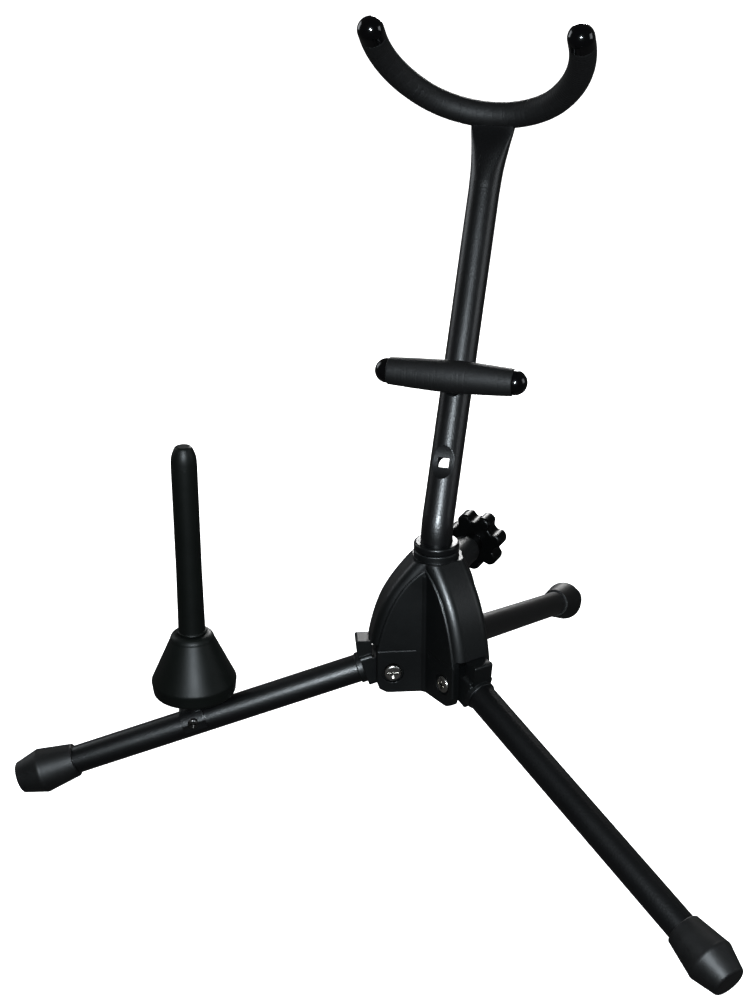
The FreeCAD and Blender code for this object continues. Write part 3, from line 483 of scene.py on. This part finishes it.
def yoke_point(along):
    """Centre, outward direction and curvature of the U at a signed distance from its saddle."""
    side = -1.0 if along < 0 else 1.0
    distance = abs(along)
    if distance < BOTTOM_LENGTH:
        angle = distance / BOTTOM_ARC
        x = BOTTOM_ARC * math.sin(angle)
        z = BOTTOM_ARC * (1 - math.cos(angle))
        curvature = 1 / BOTTOM_ARC
    else:
        break_angle = math.radians(YOKE_BREAK)
        angle = min(break_angle + (distance - BOTTOM_LENGTH) / SIDE_ARC, math.pi / 2)
        x = BOTTOM_ARC * math.sin(break_angle) + SIDE_ARC * (math.sin(angle) - math.sin(break_angle))
        z = BOTTOM_ARC * (1 - math.cos(break_angle)) + SIDE_ARC * (math.cos(break_angle) - math.cos(angle))
        curvature = 1 / SIDE_ARC
    beyond = max(0.0, distance - ARM_LENGTH)
    centre = Vector((side * x, 0.0, z + beyond))
    outward = Vector((side * math.sin(angle), 0.0, -math.cos(angle)))
    return centre, outward, curvature


def make_creases(seed, half_length, spacing, deepest):
    """Random fine creases all along a foam sleeve."""
    rng = random.Random(seed)
    creases = []
    place = -half_length
    while place < half_length:
        place += spacing * rng.uniform(0.45, 1.6)
        slant = rng.uniform(-0.5, 0.5)
        middle = rng.uniform(-math.pi, math.pi)
        reach = rng.uniform(0.7, 2.3)
        depth = deepest * rng.uniform(0.2, 1.0) ** 1.5
        width = rng.uniform(0.22, 0.42)
        creases.append(Crease(place, slant, middle, reach, depth, width))
    return creases


def crease_depth(creases, along, angle):
    """How far the skin lies under its smooth surface at one point."""
    depth = 0.0
    for crease in creases:
        away = along - crease.place - crease.slant * math.sin(angle - crease.middle)
        if abs(away) > CREASE_REACH_IN_WIDTHS * crease.width:
            continue
        turn = abs((angle - crease.middle + math.pi) % (2 * math.pi) - math.pi)
        if turn > crease.reach:
            continue
        fade = math.cos(0.5 * math.pi * turn / crease.reach)
        depth += crease.deepest * fade * math.exp(-(away / crease.width) ** 2)
    return depth


def make_lumps():
    """Long, low random waves in a sleeve's skin: rate along it, phase, lobes round it and their start."""
    rng = random.Random(LUMP_SEED)
    return [(rng.uniform(0.05, 0.16), rng.uniform(0, 6.28), rng.choice((1, 2, 3)), rng.uniform(0, 6.28))
            for _ in range(LUMP_WAVES)]


def lump_height(lumps, along, angle):
    """How far the waves raise the skin at one point."""
    height = 0.0
    for rate, phase, lobes, start in lumps:
        height += LUMP_HEIGHT * math.sin(rate * along + phase) * math.cos(lobes * angle + start)
    return height


def sleeve_profile(half_length, step):
    """Places of the rings from end to end, each with its drop under the skin, or None in the bore."""
    count = int(2 * half_length / step)
    places = [-half_length + 2 * half_length * index / count for index in range(count + 1)]
    plain = [(place, 0.0) for place in places if abs(place) < half_length - EDGE_ROUNDING - EDGE_SPACE]
    lip = []
    for index in range(EDGE_POINTS):
        angle = math.pi / 2 * index / (EDGE_POINTS - 1)
        place = half_length - EDGE_ROUNDING * (1 - math.sin(angle))
        lip.append((place, EDGE_ROUNDING * (1 - math.cos(angle))))
    bore = [(half_length - inward, None) for inward in INNER_PLACES]
    near_end = [(-place, drop) for place, drop in reversed(lip + bore)]
    return near_end + plain + lip + bore


def foam_sleeve(name, half_length, radius_at, point_at, creases, step, place):
    """A foam tube along a path, with creases, soft lumps and cut ends that turn in to the rod."""
    lumps = make_lumps()
    profile = sleeve_profile(half_length, step)
    sideways = Vector((0.0, 1.0, 0.0))
    vertices = []
    for along, drop in profile:
        centre, outward, curvature = point_at(along)
        gathering = PINCH * curvature * (0.5 + 0.5 * math.sin(along * PINCH_RATE))
        for turn in range(AROUND):
            angle = 2 * math.pi * turn / AROUND
            if drop is None:
                radius = ROD_RADIUS + ROD_CLEARANCE
            else:
                radius = radius_at(along) - drop - crease_depth(creases, along, angle)
                radius += lump_height(lumps, along, angle)
                radius -= gathering * max(0.0, -math.cos(angle))
            offset = outward * math.cos(angle) + sideways * math.sin(angle)
            vertices.append(centre + offset * radius)
    return mesh_object(name, vertices, tube_faces(len(profile), AROUND), place)


def yoke_radius(along):
    """The same all along the U."""
    return SLEEVE_RADIUS - SKIN_INSET


def make_yoke_foam():
    creases = make_creases(CREASE_SEED["yoke"], ARM_LENGTH - CREASE_MARGIN, spacing=0.85, deepest=0.22)
    creases += YOKE_SLITS
    sleeve = foam_sleeve("yoke_foam", ARM_LENGTH, yoke_radius, yoke_point, creases, YOKE_STEP, YOKE)
    paint(sleeve, materials["foam"])
    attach(sleeve, "post")
    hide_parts("yoke_sleeve")


def rest_point(along):
    """Centre, outward direction and curvature of the straight rest bar."""
    return Vector((along, 0.0, 0.0)), Vector((0.0, 0.0, 1.0)), 0.0


def rest_radius(along):
    """Thickest in the middle, thinner towards the ends."""
    share = abs(along) / REST_HALF_LENGTH
    return REST_MIDDLE_RADIUS - (REST_MIDDLE_RADIUS - REST_END_RADIUS) * share ** 1.6 - SKIN_INSET


def make_rest_foam():
    half_length = REST_HALF_LENGTH
    creases = make_creases(CREASE_SEED["rest"], half_length - CREASE_MARGIN, spacing=0.75, deepest=0.17)
    sleeve = foam_sleeve("rest_foam", half_length, rest_radius, rest_point, creases, REST_STEP, REST_BAR)
    paint(sleeve, materials["foam"])
    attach(sleeve, "post")
    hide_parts("rest_sleeve")


# ---------------------------------------------------------------- the scene
def make_materials():
    hub_plastic = moulded_plastic("hub_plastic", level=0.0020, tint=(0.82, 1.0, 1.04), rough=0.41,
                                  shine=0.42, grain=620.0, strength=0.24)
    nylon_bush = moulded_plastic("nylon_bush", level=0.0022, tint=(0.90, 1.0, 1.06), rough=0.33,
                                 shine=0.36, grain=900.0, strength=0.12)
    # painted shade: the knob's plastic is a darker, duller copy of the moulded plastic, so that the knob looks
    # shaded
    knob_plastic_painted_shade = moulded_plastic("knob_plastic_painted_shade", level=0.0012, tint=(0.92, 1.0, 1.0), rough=0.34,
                                   shine=0.13, grain=700.0, strength=0.20)
    peg_plastic = moulded_plastic("peg_plastic", level=0.0028, tint=(0.85, 1.08, 0.92), rough=0.46,
                                  shine=0.22, grain=800.0, strength=0.18)
    return {
        "black_steel": powder_coat(),
        "hub_plastic": hub_plastic,
        "foam": foam(),
        "gloss_cap": gloss_cap(),
        "foot_rubber": foot_rubber(),
        "chrome_screw": plated("chrome_screw", level=0.42, tint=(1.0, 0.97, 0.92), rough=0.24),
        "dark_screw": plated("dark_screw", level=0.10, tint=(1.0, 0.98, 0.95), rough=0.30),
        "zinc_nut": plated("zinc_nut", level=0.62, tint=(0.97, 1.0, 1.04), rough=0.30),
        "nylon_bush": nylon_bush,
        "knob_plastic_painted_shade": knob_plastic_painted_shade,
        "peg_plastic": peg_plastic,
    }


def dress_cad_nodes():
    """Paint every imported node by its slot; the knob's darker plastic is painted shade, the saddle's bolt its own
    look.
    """
    slots = {entry["node"]: entry["material_slot"] for entry in frame["record"]["subparts"]}
    slots["knob_head"] = "knob_plastic_painted_shade"
    slots["saddle_bolt"] = "dark_screw"
    for name, node in nodes.items():
        paint(node, materials[slots[name]])


add_camera()
add_studio()
materials = make_materials()
dress_cad_nodes()
make_yoke_foam()
make_rest_foam()
